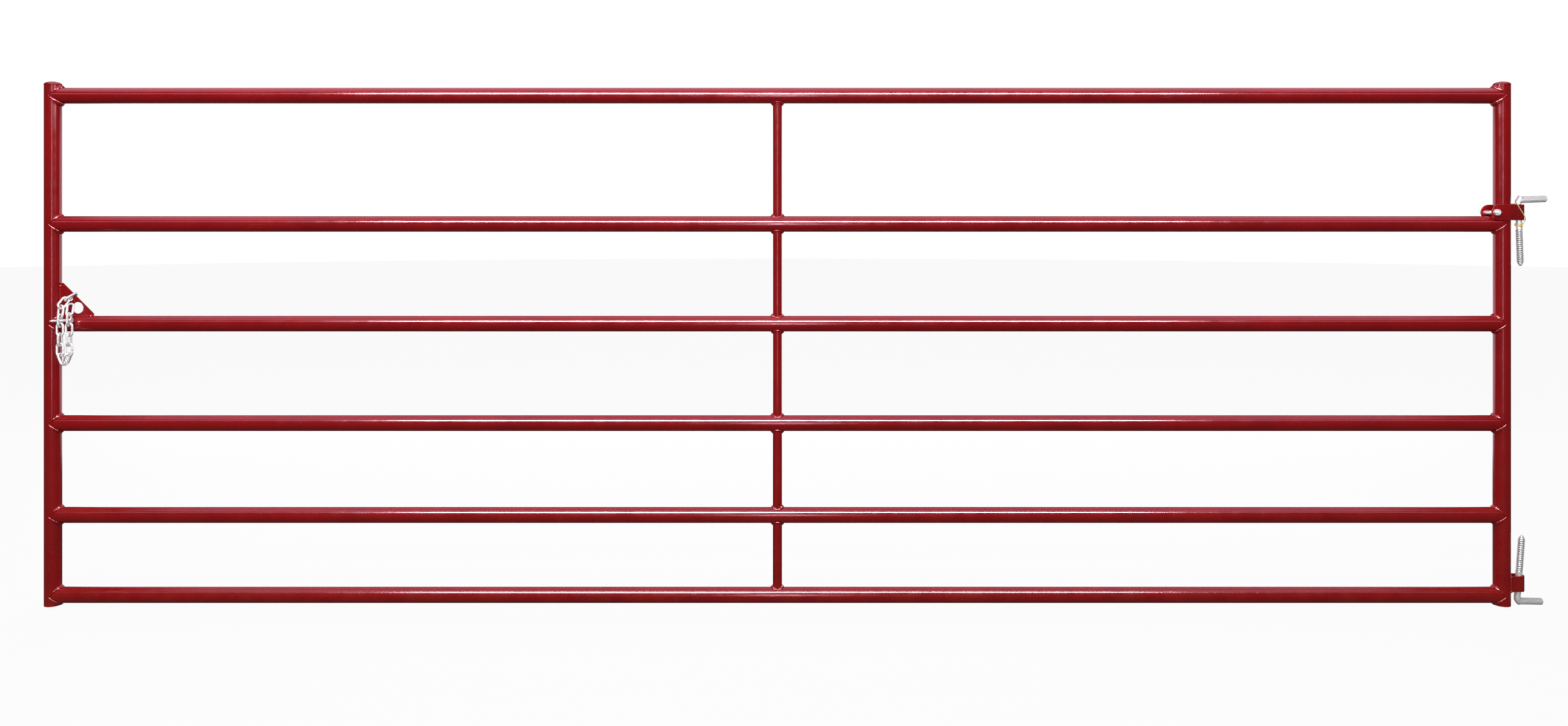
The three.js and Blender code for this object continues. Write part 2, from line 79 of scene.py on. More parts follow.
# ---- Sizes of details that the solids leave out ----
TUBE_WALL = 1.6 * MM
BRACE_WALL = 1.5 * MM
LIP = 0.25 * MM  # how far a tube's cut edges are rolled over
STRAP_THICKNESS = 3.2 * MM
STRAP_CORNER = 0.8 * MM  # rounding along the edges of the hinge straps
THREAD_PITCH = 5.08 * MM  # of the screw hooks
THREAD_DEPTH = 1.95 * MM
SHANK_LENGTH = 160.5 * MM  # from the pin's axis to the point
NECK_LENGTH = 72 * MM  # from the pin's axis to the first thread
POINT_LENGTH = 10 * MM
PIN_LENGTH = 67 * MM
PIN_RADIUS = 7.95 * MM
NECK_RADIUS = 7.1 * MM
BEND_RADIUS = 8.2 * MM  # between the pin's axis and the shank's
CORD_RADIUS = 1.0 * MM
WIRE_RADIUS = 2.75 * MM  # of the chain's nodes
WIRE = 2.7 * MM  # radius of the wire that is drawn
SEAT_WEAR = 0.4 * MM  # on the inside of a chain link's bows


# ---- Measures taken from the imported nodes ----
def corners(node):
    """Lowest and highest corner of a node as arrays."""
    low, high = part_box(node)
    return np.array(low), np.array(high)


def middle(node):
    low, high = corners(node)
    return (low + high) / 2


def extent(node):
    low, high = corners(node)
    return high - low


def node_points(node):
    """All the different vertices of a node, one row each."""
    mesh = frame["nodes"][node].data
    flat = np.empty(3 * len(mesh.vertices))
    mesh.vertices.foreach_get("co", flat)
    return np.unique(flat.reshape(-1, 3).round(7), axis=0)


def joint(name):
    return next(j for j in frame["record"]["behaviour"]["joints"] if j["name"] == name)


def unit(vector):
    """Each row divided by its length."""
    vector = np.asarray(vector, float)
    return vector / np.linalg.norm(vector, axis=-1, keepdims=True)


RAILS = ["top_rail", "rail_2", "rail_3", "rail_4", "rail_5", "bottom_rail"]
BRACES = ["brace_1", "brace_2", "brace_3", "brace_4", "brace_5"]
UPRIGHTS = ["latch_upright", "hinge_upright"]
tube_radius = extent("hinge_upright")[0] / 2
brace_radius = extent("brace_1")[0] / 2
latch_x = middle("latch_upright")[0]
hinge_x = middle("hinge_upright")[0]
middle_x = (latch_x + hinge_x) / 2
brace_x = middle("brace_1")[0]
foot_z, upright_top_z = (corner[2] for corner in corners("hinge_upright"))
rail_z = {name: middle(name)[2] for name in RAILS}
strap_width = extent("lower_hinge_eye")[2]
eye_outer = corners("lower_hinge_eye")[1][0]  # the eye's crown on the hinge axis's far side
strap_mid = eye_outer - STRAP_THICKNESS / 2
collar_z = middle("collar_strap")[2]
strap_bend_x = hinge_x + 9 * MM  # where the collar's flat sides end
collar_flat_y = corners("collar_strap")[1][1] - STRAP_THICKNESS / 2
bend_angle = np.arctan2(collar_flat_y, strap_bend_x)
strap_tangent = bend_angle - np.arccos(strap_mid / np.hypot(strap_bend_x, collar_flat_y))


# ---- Camera ----
camera_data = bpy.data.cameras.new("gate_camera")
camera_data.lens = 26
camera_data.sensor_width = 36
camera_data.shift_y = -0.0901
camera = bpy.data.objects.new("gate_camera", camera_data)
camera.location = (middle_x + 0.016, -2.75, foot_z + 0.93)
camera.rotation_euler = (radians(90), 0, 0)
bpy.context.scene.collection.objects.link(camera)
bpy.context.scene.camera = camera


# ---- Meshes from grids ----
def surface(rows, loop=False, mark=0.0):
    """A grid of points, its rows along the piece and its columns round it, as points, faces and marks.

    loop joins the last row to the first; without it the first and last rows are each closed with a pole
    at their centre.
    """
    n, m = rows.shape[:2]
    index = np.arange(n * m).reshape(n, m)
    if loop:
        index = np.vstack([index, index[:1]])
    index = np.hstack([index, index[:, :1]])
    faces = np.stack([index[:-1, :-1], index[1:, :-1], index[1:, 1:], index[:-1, 1:]], -1)
    faces = faces.reshape(-1, 4).tolist()
    points = rows.reshape(-1, 3)
    marks = np.broadcast_to(mark, (n, m)).reshape(-1)
    if not loop:
        for side in (0, -1):
            pole = np.full(m, len(points))
            faces += np.stack([index[side][:-1], index[side][1:], pole], -1).tolist()
            points = np.vstack([points, rows[side].mean(0)])
            marks = np.append(marks, marks[index[side][0]])
    return points, faces, marks


def make_piece(name, surfaces, body, material, nodes=(), sharp=40):
    """One object from several closed surfaces, shaded smooth up to the given angle between faces."""
    points, faces, marks, start = [], [], [], 0
    for some_points, some_faces, some_marks in surfaces:
        points.append(some_points)
        faces += [[start + corner for corner in face] for face in some_faces]
        marks.append(some_marks)
        start += len(some_points)
    mesh = bpy.data.meshes.new(name)
    mesh.from_pydata(np.vstack(points), [], faces)
    solid = bmesh.new()
    solid.from_mesh(mesh)
    bmesh.ops.recalc_face_normals(solid, faces=solid.faces)
    solid.to_mesh(mesh)
    solid.free()
    mark = mesh.attributes.new("mark", "FLOAT", "POINT")
    mark.data.foreach_set("value", np.concatenate(marks).astype(np.float32))
    mesh.shade_smooth()
    mesh.set_sharp_from_angle(angle=radians(sharp))
    mesh.materials.append(material)
    piece = bpy.data.objects.new(name, mesh)
    bpy.context.scene.collection.objects.link(piece)
    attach(piece, body)
    if nodes:
        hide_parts(*nodes)


def full_turn(count):
    """That many angles at equal steps round a circle."""
    return np.linspace(0, tau, count, endpoint=False)


def around(angle, side, other):
    """Points cos(angle) side + sin(angle) other, one row each."""
    return np.outer(np.cos(angle), side) + np.outer(np.sin(angle), other)


def turned(profile, sides, origin, axis, side):
    """A profile of (radius, height) rows turned round axis: origin + height axis + radius (cos, sin)."""
    profile = np.asarray(profile, float)
    circle = around(full_turn(sides), side, np.cross(axis, side))
    radius = profile[:, 0, None, None]
    height = profile[:, 1, None, None]
    return origin + height * axis + radius * circle


def swept(path, size, a, normal, b, binormal):
    """Rows of points round a path: each is its path point + size (a normal + b binormal). size is one
    number, or a column or grid of them."""
    section = a[..., None] * normal[:, None] + b[..., None] * binormal[:, None]
    return path[:, None] + np.asarray(size)[..., None] * section


def frames(path, first, closed=False):
    """Normal and binormal along a path. Each normal is first with its part along the path taken out."""
    if closed:
        tangent = unit(np.roll(path, -1, 0) - np.roll(path, 1, 0))
    else:
        tangent = unit(np.gradient(path, axis=0))
    normal = unit(first - tangent * (tangent @ first)[:, None])
    return normal, np.cross(tangent, normal)


def smoothed(path, times):
    """Each inner point moved to the mean of itself and its neighbours, that many times, ends held."""
    path = path.copy()
    for _ in range(times):
        path[1:-1] = (path[:-2] + 2 * path[1:-1] + path[2:]) / 4
    return path


def even(path, count):
    """The same path with that many points at equal steps along it."""
    path = np.asarray(path, float)
    along = np.append(0, np.cumsum(np.linalg.norm(np.diff(path, axis=0), axis=1)))
    steps = np.linspace(0, along[-1], count)
    return np.stack([np.interp(steps, along, path[:, k]) for k in range(path.shape[1])], -1)


# ---- Finishes ----
class Finish:
    """A material whose sockets are fed by small procedural patterns on the object's own coordinates."""

    def __init__(self, name):
        self.material = bpy.data.materials.new(name)
        self.material.use_nodes = True
        self.tree = self.material.node_tree
        self.shader = self.tree.nodes["Principled BSDF"]
        self.place = self.tree.nodes.new("ShaderNodeTexCoord").outputs["Object"]

    def node(self, kind, inputs=(), **settings):
        """A node with its settings made and its inputs set, or fed where the value is a socket."""
        made = self.tree.nodes.new(kind)
        for key, value in settings.items():
            setattr(made, key, value)
        for key, value in dict(inputs).items():
            self.feed(made.inputs[key], value)
        return made

    def feed(self, socket, value):
        if isinstance(value, bpy.types.NodeSocket):
            self.tree.links.new(value, socket)
        else:
            socket.default_value = value

    def math(self, operation, a, b, clamp=False):
        made = self.node("ShaderNodeMath", {0: a, 1: b}, operation=operation, use_clamp=clamp)
        return made.outputs[0]

    def noise(self, scale, detail=2.0, roughness=0.5, stretch=(1, 1, 1)):
        """Noise from 0 to 1 with features about 1/scale metres across."""
        place = self.node("ShaderNodeMapping", {"Vector": self.place, "Scale": stretch}).outputs[0]
        values = {"Vector": place, "Scale": scale, "Detail": detail, "Roughness": roughness}
        return self.node("ShaderNodeTexNoise", values).outputs["Fac"]

    def ramp(self, value, low, high, out_low=0.0, out_high=1.0):
        """value taken from low..high to out_low..out_high, held at both ends."""
        inputs = {"Value": value, 1: low, 2: high, 3: out_low, 4: out_high}
        return self.node("ShaderNodeMapRange", inputs, clamp=True).outputs[0]

    def blend(self, share, a, b):
        """Colour a where share is 0, b where it is 1."""
        made = self.node("ShaderNodeMix", data_type="RGBA")
        self.feed(made.inputs["Factor"], share)
        for socket, value in ((made.inputs[6], a), (made.inputs[7], b)):
            self.feed(socket, value if isinstance(value, bpy.types.NodeSocket) else (*value, 1))
        return made.outputs[2]

    def mark(self):
        """The piece's own mark: worn edges and bead crests on enamel; painted shade in the bottom of threads,
        the seats of links and the inside of hook bends on zinc; the stretched run on elastic."""
        return self.node("ShaderNodeAttribute", attribute_name="mark").outputs["Fac"]

    def bumps(self, *layers):
        """Bump layers of (height, distance in metres, strength), one over the other."""
        normal = None
        for height, distance, strength in layers:
            inputs = {"Height": height, "Distance": distance, "Strength": strength}
            if normal is not None:
                inputs["Normal"] = normal
            normal = self.node("ShaderNodeBump", inputs).outputs[0]
        self.feed(self.shader.inputs["Normal"], normal)


def red_enamel():
    """Glossy baked enamel: clouded deep red, orange peel, road dust low down, fine scratches and chips."""
    deep_red, bright_red, dark_mottle = (0.35, 0.0032, 0.0030), (0.45, 0.0060, 0.0045), (0.25, 0.0035, 0.0035)
    warm_red, brown_dust = (0.44, 0.028, 0.010), (0.20, 0.065, 0.035)
    dull_scratch, pale_chip = (0.42, 0.10, 0.09), (0.60, 0.33, 0.28)
    dust_height = 0.5  # metres above the foot that road dust reaches
    f = Finish("red_enamel")
    height = f.node("ShaderNodeSeparateXYZ", {0: f.place}).outputs[2]
    low_down = f.ramp(height, foot_z, foot_z + dust_height, 1.0, 0.0)
    cloud = f.noise(7, 3)
    colour = f.blend(f.ramp(cloud, 0.3, 0.7), deep_red, bright_red)
    mottle = f.ramp(f.noise(220, 3), 0.42, 0.68)
    colour = f.blend(f.math("MULTIPLY", mottle, 0.35), colour, dark_mottle)
    warm = f.math("MULTIPLY", low_down, f.ramp(f.noise(22, 4), 0.35, 0.7), clamp=True)
    colour = f.blend(f.math("MULTIPLY", warm, 0.45), colour, warm_red)
    dust = f.ramp(f.noise(420, 4, 0.65), 0.60, 0.70)
    dust = f.math("MULTIPLY", dust, f.ramp(low_down, 0.0, 1.0, 0.12, 0.75))
    colour = f.blend(dust, colour, brown_dust)
    along = f.noise(1, 2, stretch=(9, 900, 900))
    upright = f.noise(1, 2, stretch=(900, 900, 12))
    scratch = f.math("MAXIMUM", f.ramp(along, 0.735, 0.76), f.ramp(upright, 0.745, 0.77))
    colour = f.blend(f.math("MULTIPLY", scratch, 0.5), colour, dull_scratch)
    chip_noise = f.noise(190, 3, 0.55)
    chip_edge = f.math("SUBTRACT", 0.80, f.math("MULTIPLY", f.mark(), 0.26))
    chip = f.ramp(f.math("SUBTRACT", chip_noise, chip_edge), 0.0, 0.02)
    colour = f.blend(chip, colour, pale_chip)
    f.feed(f.shader.inputs["Base Color"], colour)
    rough = f.ramp(f.noise(35, 4), 0.3, 0.7, 0.12, 0.2)
    rough = f.math("ADD", rough, f.math("MULTIPLY", dust, 0.35))
    damage = f.math("MAXIMUM", scratch, chip)
    rough = f.math("ADD", rough, f.math("MULTIPLY", damage, 0.25), clamp=True)
    f.feed(f.shader.inputs["Roughness"], rough)
    f.shader.inputs["Specular IOR Level"].default_value = 0.9
    f.shader.inputs["Specular Tint"].default_value = (1.0, 0.62, 0.8, 1)
    peel = f.noise(150, 2)
    chip_depth = f.math("MULTIPLY", chip, -1.0)
    grain = f.noise(1500, 2)
    smooth_layers = (peel, 0.4 * MM, 0.10), (grain, 0.05 * MM, 0.25)
    f.bumps(*smooth_layers, (dust, 0.1 * MM, 0.5), (chip_depth, 0.2 * MM, 0.6))
    return f.material


def bright_zinc():
    """Bright zinc plate on steel: soft cloudy grain, dull spots, painted shade in thread bottoms and seats.
    """
    cloudy, clear = (0.86, 0.87, 0.88), (0.97, 0.97, 0.97)
    dull_spot, painted_groove_shade = (0.62, 0.63, 0.65), (0.10, 0.10, 0.115)
    f = Finish("bright_zinc")
    cloud = f.ramp(f.noise(120, 4, 0.6), 0.3, 0.7)
    colour = f.blend(cloud, cloudy, clear)
    dull = f.ramp(f.noise(420, 3, 0.6), 0.58, 0.70)
    colour = f.blend(f.math("MULTIPLY", dull, 0.45), colour, dull_spot)
    # painted shade: a near-black grey laid into thread roots, link seats and hook bends wherever the mark is
    # high
    painted_shade_mask = f.math("MULTIPLY", f.mark(), f.ramp(f.noise(260, 2), 0.2, 0.6, 0.65, 1.0))
    colour = f.blend(painted_shade_mask, colour, painted_groove_shade)
    f.feed(f.shader.inputs["Base Color"], colour)
    f.shader.inputs["Metallic"].default_value = 0.42
    rough = f.math("ADD", f.ramp(f.noise(300, 3), 0.3, 0.7, 0.16, 0.3), f.math("MULTIPLY", dull, 0.18))
    f.feed(f.shader.inputs["Roughness"], rough)
    f.bumps((f.noise(700, 3), 0.06 * MM, 0.5), (f.noise(2600, 2), 0.02 * MM, 0.4))
    return f.material


def band_rubber():
    """Yellow elastic, a little bleached where it is stretched thin."""
    amber, lemon, bleached = (0.98, 0.66, 0.08), (1.0, 0.82, 0.22), (1.0, 0.92, 0.62)
    f = Finish("band_rubber")
    colour = f.blend(f.ramp(f.noise(400, 3), 0.3, 0.7), amber, lemon)
    colour = f.blend(f.math("MULTIPLY", f.mark(), 0.6), colour, bleached)
    f.feed(f.shader.inputs["Base Color"], colour)
    f.feed(f.shader.inputs["Roughness"], f.ramp(f.noise(900, 2), 0.3, 0.7, 0.42, 0.6))
    f.shader.inputs["Subsurface Weight"].default_value = 0.15
    f.shader.inputs["Subsurface Scale"].default_value = MM
    f.bumps((f.noise(1800, 3), 0.08 * MM, 0.6))
    return f.material


enamel = red_enamel()
zinc = bright_zinc()
rubber = band_rubber()


def enamelled(name, surfaces, nodes=(), body="frame", sharp=40):
    make_piece(name, surfaces, body, enamel, nodes, sharp)


# ---- Tubes ----
def wall_rows(radius, wall):
    """Rows of a tube's skin: out along the outer wall and back along the inner one, its ends rolled over.

    Each row is (radius, share of the way along the tube, a step further along).
    """
    outer = [(radius - LIP, 0, 0), (radius, 0, LIP), (radius, 1, -LIP), (radius - LIP, 1, 0)]
    inner = [(radius - wall, 1, 0), (radius - wall, 0, 0)]
    return outer + inner


def coped_rail(name):
    """A rail along X at its own height. Each end stops on the upright's skin, at
    x = upright's centre +- sqrt(R^2 - y^2) for the point's own y."""
    angle = full_turn(72)
    rows = []
    for radius, share, step in wall_rows(tube_radius, TUBE_WALL):
        y, z = radius * np.cos(angle), radius * np.sin(angle)
        cope = np.sqrt(np.maximum(tube_radius**2 - y**2, 0))
        start, end = latch_x + cope, hinge_x - cope
        x = start + (end - start) * share + step
        rows.append(np.stack([x, y, rail_z[name] + z], -1))
    enamelled(f"{name}_tube", [surface(np.array(rows), loop=True)], [name])


def coped_brace(name, above, below):
    """A brace tube along Z. Each end stops on the rail's skin, at z = rail's centre +- sqrt(R^2 - y^2)."""
    angle = full_turn(48)
    rows = []
    for radius, share, step in wall_rows(brace_radius, BRACE_WALL):
        x, y = radius * np.cos(angle), radius * np.sin(angle)
        cope = np.sqrt(tube_radius**2 - y**2)
        start, end = rail_z[below] + cope, rail_z[above] - cope
        z = start + (end - start) * share + step
        rows.append(np.stack([brace_x + x, y, z], -1))
    enamelled(f"{name}_tube", [surface(np.array(rows), loop=True)], [name])


def upright_tube(name, x):
    """An open-ended upright, foot and top edges rolled over."""
    height = upright_top_z - foot_z
    profile = [(r, foot_z + height * share + step) for r, share, step in wall_rows(tube_radius, TUBE_WALL)]
    rows = turned(profile, 96, np.array([x, 0, 0]), Z, X)
    enamelled(f"{name}_tube", [surface(rows, loop=True)], [name])


def domed_cap(name, x):
    """A pressed cap, its skirt inside the tube. The crown is a quarter ellipse, radius R sin t and height
    rise cos t, with a little more in its middle."""
    low, high = corners(f"{name}_cap")
    rise = high[2] - upright_top_z
    share = np.linspace(0, 1, 14)
    middle_lift = 0.35 * MM * np.exp(-((share / 0.25) ** 2))
    crown_radius = np.maximum(tube_radius * np.sin(share * pi / 2), 0.05 * MM)
    crown = np.stack([crown_radius, upright_top_z + rise * np.cos(share * pi / 2) + middle_lift], -1)
    play = 0.3 * MM
    skirt = tube_radius - TUBE_WALL - play
    skirt_inside = skirt - 2 * MM
    rim_z = upright_top_z - 0.1 * MM
    rim = [(tube_radius - play, rim_z), (skirt, rim_z)]
    inside = [(skirt, low[2]), (skirt_inside, low[2]), (skirt_inside, upright_top_z)]
    top = [(0.5 * skirt_inside, high[2] - 3.2 * MM), (0.1 * MM, high[2] - 2.4 * MM)]
    profile = np.vstack([crown, rim, inside, top])
    rows = turned(profile, 72, np.array([x, 0, 0]), Z, X)
    enamelled(f"{name}_domed_cap", [surface(rows)], [f"{name}_cap"])


for upright, x in zip(UPRIGHTS, (latch_x, hinge_x)):
    upright_tube(upright, x)
    domed_cap(upright, x)
for rail in RAILS:
    coped_rail(rail)
for brace, above, below in zip(BRACES, RAILS[:-1], RAILS[1:]):
    coped_brace(brace, above, below)


# ---- Weld beads ----
def weld_bead(path, leg, axis, seed, closed=True, pitch=3.1 * MM, pull=1.35, lumps=0.1):
    """A bead carried along a path: its section is a rounded diamond |a|^pull + |b|^pull = leg^pull, a along
    axis and b square to it, swelling once every pitch as each drop froze on the last."""
    rng = np.random.default_rng(seed)
    normal, binormal = frames(path, axis, closed)
    step = np.linalg.norm(np.diff(path, axis=0, append=path[:1] if closed else path[-1:]), axis=1)
    along = np.cumsum(step)
    drops = max(3, round(along[-1] / pitch))
    phase = along / along[-1] * drops
    swell = rng.uniform(-lumps, lumps, drops + 1)[np.minimum(phase.astype(int), drops)]
    if closed:
        swell[-1] = swell[0]
    angle = full_turn(14)
    lean = 0.35  # part of a drop by which its middle runs ahead of its toes
    chevron = phase[:, None] + lean * np.cos(angle)[None, :] ** 2
    ripple = np.abs(np.sin(pi * chevron)) ** 0.6
    trough, rise = 0.90, 0.16
    size = leg[:, None] * (trough + rise * ripple + swell[:, None])
    a = np.sign(np.cos(angle)) * np.abs(np.cos(angle)) ** (2 / pull)
    b = np.sign(np.sin(angle)) * np.abs(np.sin(angle)) ** (2 / pull)
    return surface(swept(path, size, a, normal, b, binormal), loop=closed, mark=0.45 * ripple)


def rail_saddle(x, side, z, corner_leg, seed):
    """Where a rail meets an upright: x = centre + side R sqrt(sin^2 t + ease), y = -R cos t,
    z = rail + R sin t. Its leg grows with |sin t|^1.4 from thin at the front and back, where the two
    skins are flush, to corner_leg over and under the rail. ease keeps the path from turning sharply."""
    ease = 0.006
    flush_leg = 1.1 * MM
    t = full_turn(150)
    reach = np.sqrt(np.sin(t) ** 2 + ease)
    path = np.stack([side * reach, -np.cos(t), np.sin(t)], -1) * tube_radius + [x, 0, z]
    leg = flush_leg + (corner_leg - flush_leg) * np.abs(np.sin(t)) ** 1.4
    return weld_bead(path, leg, X, seed)


def brace_saddle(rail, side, seed):
    """Where a brace meets a rail: x = centre + r cos t, y = r sin t, z = rail + side sqrt(R^2 - y^2). The
    bead is heavier at the brace's two sides, and lumpier on top of a rail than under one."""
    t = full_turn(96)
    y = brace_radius * np.sin(t)
    z = rail_z[rail] + side * np.sqrt(tube_radius**2 - y**2)
    path = np.stack([brace_x + brace_radius * np.cos(t), y, z], -1)
    leg = (3.1 + 2.3 * np.cos(t) ** 4) * MM
    lumps = 0.22 if side > 0 else 0.08
    return weld_bead(path, leg, Z, seed, lumps=lumps, pull=1.2)


rail_beads = []
for number, rail in enumerate(RAILS):
    corner_leg = 7.2 * MM if rail == "top_rail" else 5.6 * MM
    for side, x in ((1, latch_x), (-1, hinge_x)):
        rail_beads.append(rail_saddle(x, side, rail_z[rail], corner_leg, 2 * number + (side > 0)))
enamelled("rail_weld_beads", rail_beads, sharp=60)

brace_beads = []
for number, (above, below) in enumerate(zip(RAILS[:-1], RAILS[1:])):
    brace_beads.append(brace_saddle(above, -1, 100 + 2 * number))
    brace_beads.append(brace_saddle(below, 1, 101 + 2 * number))
enamelled("brace_weld_beads", brace_beads, sharp=60)

cap_seams = []
for number, x in enumerate((latch_x, hinge_x)):
    ring = [x, 0, upright_top_z - 0.2 * MM] + around(full_turn(120), tube_radius * X, tube_radius * Y)
    cap_seams.append(weld_bead(ring, np.full(120, 0.7 * MM), Z, 200 + number, pitch=2.4 * MM))
enamelled("cap_seam_beads", cap_seams, sharp=60)


# ---- Latch plate ----
def rounded_outline(points, radius):
    """A polygon's corners as arcs: at each corner a curve of B(t) = (1-t)^2 a + 2t(1-t) c + t^2 b."""
    points = np.asarray(points, float)
    before, after = np.roll(points, 1, 0), np.roll(points, -1, 0)
    a = points + unit(before - points) * radius
    b = points + unit(after - points) * radius
    t = np.linspace(0, 1, 6)[None, :, None]
    rows = (1 - t) ** 2 * a[:, None] + 2 * t * (1 - t) * points[:, None] + t**2 * b[:, None]
    return rows.reshape(-1, 2)


def latch_plate():
    """The gusset: a flat outline with two holes given its thickness and a small bevel, stood up in XZ.

    Its outline starts from the corner where the skins of the upright and the rail meet.
    """
    low, high = corners("latch_plate")
    thickness = high[1] - low[1]
    gap = 0.3 * MM  # between the plate's edge and the tubes
    corner = low - [gap, 0, gap]
    snip = 5 * MM
    full = high[0] - low[0] + gap
    outline = [(gap, gap), (full, gap), (full, snip), (snip, full), (gap, full)]
    loops = [rounded_outline(outline, 1.2 * MM)]
    pull_hole = (41.7 * MM, 19.5 * MM, 14 * MM)  # right and up from the corner, and radius
    chain_right = 24.2 * MM
    inset = 13 * MM  # of the chain hole's centre from the slanting edge
    chain_hole = (chain_right, full + snip - chain_right - inset * 2**0.5, 6.3 * MM)
    for right, up, radius in (pull_hole, chain_hole):
        loops.append([right, up] + radius * around(full_turn(72), X[:2], Y[:2]))
    curve = bpy.data.curves.new("latch_plate_outline", "CURVE")
    curve.dimensions = "2D"
    curve.fill_mode = "BOTH"
    bevel = 0.5 * MM
    curve.extrude = thickness / 2 - bevel
    curve.bevel_depth = bevel
    curve.bevel_resolution = 2
    curve.offset = -bevel
    for loop in loops:
        spline = curve.splines.new("POLY")
        spline.points.add(len(loop) - 1)
        places = np.column_stack([loop, np.zeros(len(loop)), np.ones(len(loop))])
        spline.points.foreach_set("co", places.ravel())
        spline.use_cyclic_u = True
    drawn = bpy.data.objects.new("latch_plate_outline", curve)
    bpy.context.scene.collection.objects.link(drawn)
    mesh = bpy.data.meshes.new_from_object(drawn)
    bpy.data.objects.remove(drawn)
    flat = np.empty(3 * len(mesh.vertices))
    mesh.vertices.foreach_get("co", flat)
    flat = flat.reshape(-1, 3)
    points = np.stack([corner[0] + flat[:, 0], -flat[:, 2], corner[2] + flat[:, 1]], -1)
    faces = [list(polygon.vertices) for polygon in mesh.polygons]
    marks = np.where(np.abs(flat[:, 2]) > thickness / 2 - 0.1 * MM, 0.1, 0.4)
    enamelled("latch_plate_gusset", [(points, faces, marks)], ["latch_plate"], sharp=30)

    beads = []
    s = np.linspace(0, 1, 90)
    last_drop = 1 + 0.6 * np.exp(-(((s - 0.95) / 0.04) ** 2))
    taper = np.minimum(1, np.minimum(s, 1 - s) / 0.06) ** 0.5 * last_drop
    for face in (-1, 1):
        start = corner * [1, 0, 1] + face * thickness / 2 * Y
        across = start + np.outer(3 * MM + s * 76 * MM, X) - 0.2 * MM * Z
        upward = start + np.outer(3 * MM + s * 74 * MM, Z) - 0.2 * MM * X
        beads.append(weld_bead(across, (2.6 * taper + 0.05) * MM, Z, 300 + face, closed=False))
        beads.append(weld_bead(upward, (2.3 * taper + 0.05) * MM, X, 310 + face, closed=False))
    enamelled("latch_plate_weld_beads", beads, sharp=60)


latch_plate()


# ---- Hinge straps ----
def strap_rows(path, half_height):
    """A strap standing on its edge: a section with rounded corners carried along a flat path, half its
    height given at each point. The section runs round |u| <= thickness / 2 and |v| <= half height."""
    tangent = unit(np.gradient(np.column_stack([path, np.zeros(len(path))]), axis=0))
    normal = np.cross(tangent, Z)
    q = np.linspace(0, pi / 2, 4)
    across = STRAP_THICKNESS / 2 + STRAP_CORNER * (np.cos(q) - 1)
    drop = STRAP_CORNER * (np.sin(q) - 1)
    arcs = []
    for side, end, flip in ((1, 1, False), (-1, 1, True), (-1, -1, False), (1, -1, True)):
        corner = np.stack([side * across, np.full(4, end), end * drop], -1)
        arcs.append(corner[::-1] if flip else corner)
    section = np.concatenate(arcs)
    u, sign, trim = section.T
    rows = np.zeros((len(path), len(section), 3))
    rows[..., :2] = path[:, None] + u[None, :, None] * normal[:, None, :2]
    rows[..., 2] = sign[None] * half_height[:, None] + trim[None]
    return rows


def eye_arc(to_angle):
    """Points on the strap's middle radius from -to_angle to +to_angle round the hinge axis."""
    angle = np.linspace(-to_angle, to_angle, 40)
    return np.stack([strap_mid * np.cos(angle), strap_mid * np.sin(angle)], -1)


def lower_eye():
    """A strap bent in a U round the hook, its two legs run out to the side of the upright. A bead runs up
    each leg's outer corner, and one across the upright's skin over and under the strap."""
    arc = eye_arc(pi / 2)
    sunk = 0.6 * MM
    reach = hinge_x + np.sqrt(tube_radius**2 - strap_mid**2) - sunk
    path = even(np.vstack([[reach, arc[0, 1]], arc, [reach, arc[-1, 1]]]), 90)
    rows = strap_rows(path, np.full(len(path), strap_width / 2))
    worn = np.where(np.abs(rows[..., 2]) > strap_width / 2 - 0.5 * MM, 0.85, 0.2)
    enamelled("lower_hinge_eye_strap", [surface(rows, mark=worn)], ["lower_hinge_eye"], sharp=50)
    beads = []
    s = np.linspace(-1, 1, 80)
    taper = np.minimum(1, (1 - np.abs(s)) / 0.08) ** 0.5
    first_drop = 1 + 0.25 * (s < -0.85)
    side_x = hinge_x + np.sqrt(tube_radius**2 - eye_outer**2)
    for side in (-1, 1):
        path = np.stack([0 * s + side_x, 0 * s + side * eye_outer, s * strap_width / 2 * 1.04], -1)
        leg = (4.2 * taper + 0.05) * MM * first_drop
        beads.append(weld_bead(path, leg, X, 400 + side, closed=False))
    for end, leg in ((-1, 3.4), (1, 2.2)):
        y = s * strap_mid
        path = np.stack([hinge_x + np.sqrt(tube_radius**2 - y**2), y, 0 * s + end * strap_width / 2], -1)
        beads.append(weld_bead(path, (leg * taper + 0.05) * MM, X, 410 + end, closed=False))
    enamelled("lower_hinge_eye_weld_beads", beads, sharp=60)


def collar_hairpin():
    """A strap bent round the hook and brought along both sides of the upright: an arc, two tangents, two
    flats. Its ends are half rounds: half height = sqrt(h^2 - (h - d)^2) at a distance d < h from the end."""
    near_end = corners("collar_strap")[0][0] + 0.02 * MM
    first_side = [[near_end, -collar_flat_y], [strap_bend_x, -collar_flat_y]]
    second_side = [[strap_bend_x, collar_flat_y], [near_end, collar_flat_y]]
    fine = smoothed(even(np.vstack([first_side, eye_arc(strap_tangent), second_side]), 400), 40)
    along = np.append(0, np.cumsum(np.linalg.norm(np.diff(fine, axis=0), axis=1)))
    half = strap_width / 2
    ease = half * (1 - np.cos(np.linspace(0, pi / 2, 22)))
    stations = np.concatenate([ease, np.linspace(half, along[-1] - half, 110)[1:-1], along[-1] - ease[::-1]])
    path = np.stack([np.interp(stations, along, fine[:, k]) for k in range(2)], -1)
    short = np.minimum(half, np.minimum(stations, along[-1] - stations))
    height = np.maximum(np.sqrt(half**2 - (half - short) ** 2), STRAP_CORNER)
    rows = strap_rows(path, height)
    edge = np.abs(rows[..., 2]) > height[:, None] - 0.5 * MM
    worn = np.where(edge, 0.75, 0.42)
    rows[..., 2] += collar_z
    enamelled("collar_strap_hairpin", [surface(rows, mark=worn)], ["collar_strap"], "collar", sharp=50)


lower_eye()
collar_hairpin()


